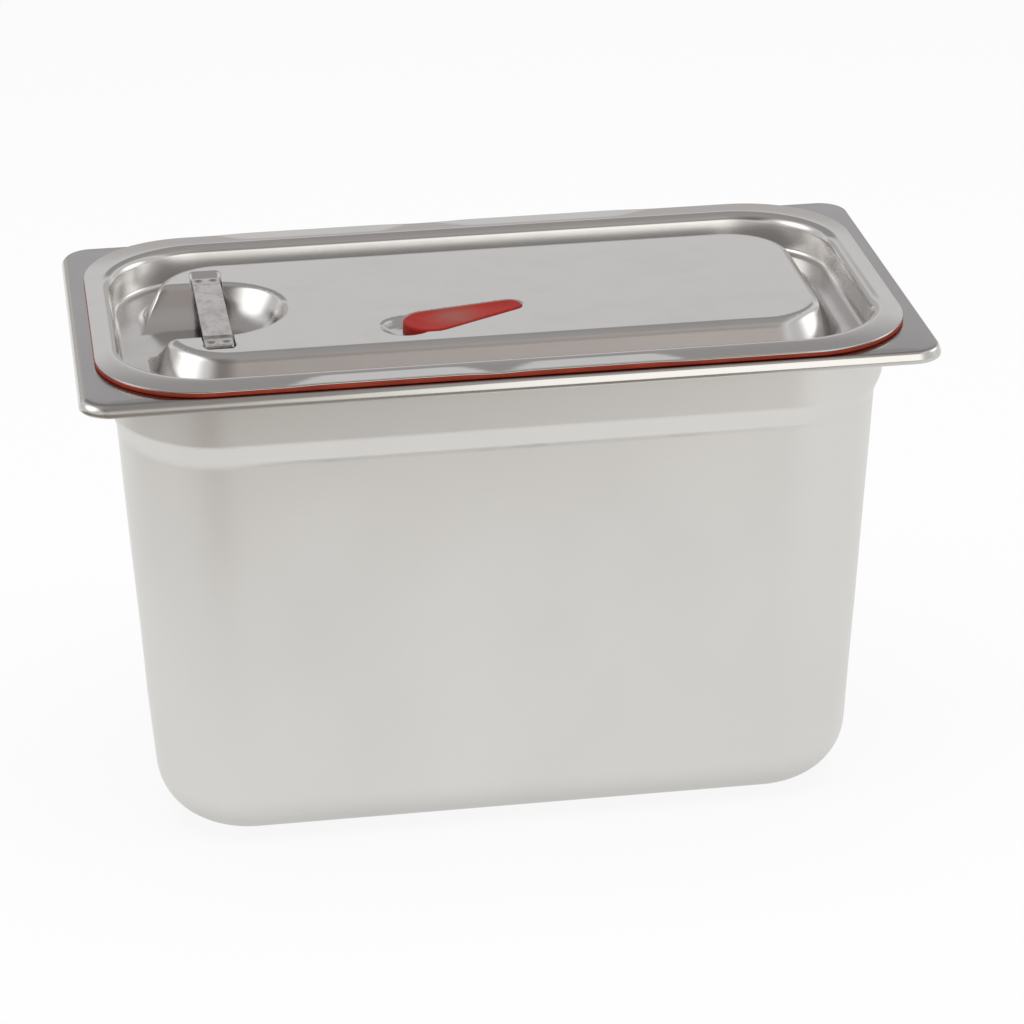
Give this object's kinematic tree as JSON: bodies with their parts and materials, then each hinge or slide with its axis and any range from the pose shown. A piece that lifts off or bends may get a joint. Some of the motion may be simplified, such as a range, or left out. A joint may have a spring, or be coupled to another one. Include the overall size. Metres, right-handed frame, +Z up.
{
  "type": "hotel pan with sealing lid",
  "caption": "Deep rectangular steel food pan with a flat rim and stacking shoulder, closed by a press-in lid with a strap handle, a sealing ring and a lift-up vent flap.",
  "frame": {"origin": "middle of the pan's footprint, on the surface that it stands on", "axes": "+Z up, +X along the pan's long side, away from the lid's strap handle, +Y to the back"},
  "size_m": [0.325, 0.176, 0.2028],
  "materials": {
    "pan_steel": "fine satin, brushed round the wall",
    "lid_steel": "bright, with polished bends",
    "strap_steel": "bright, brushed along its length",
    "seal_silicone": "matt moulded silicone",
    "vent_silicone": "satin moulded silicone"
  },
  "bodies": {
    "pan": {"pan_body": "pan_steel"},
    "lid": {"lid_shell": "lid_steel", "lid_handle": "strap_steel", "lid_seal": "seal_silicone", "vent_anchor": "vent_silicone"},
    "vent": {"vent_flap": "vent_silicone"}
  },
  "joints": [
    {"name": "lid_lift", "type": "slide", "parent": "pan", "child": "lid", "axis": [0, 0, 1], "range_m": [0, 0.2]},
    {"name": "vent_hinge", "type": "hinge", "parent": "lid", "child": "vent", "pos_m": [0.00197, -0.01776, 0.2028], "axis": [-0.3469, 0.9379, 0], "range_deg": [0, 75], "stiffness_Nm_per_rad": 0.004}
  ]
}
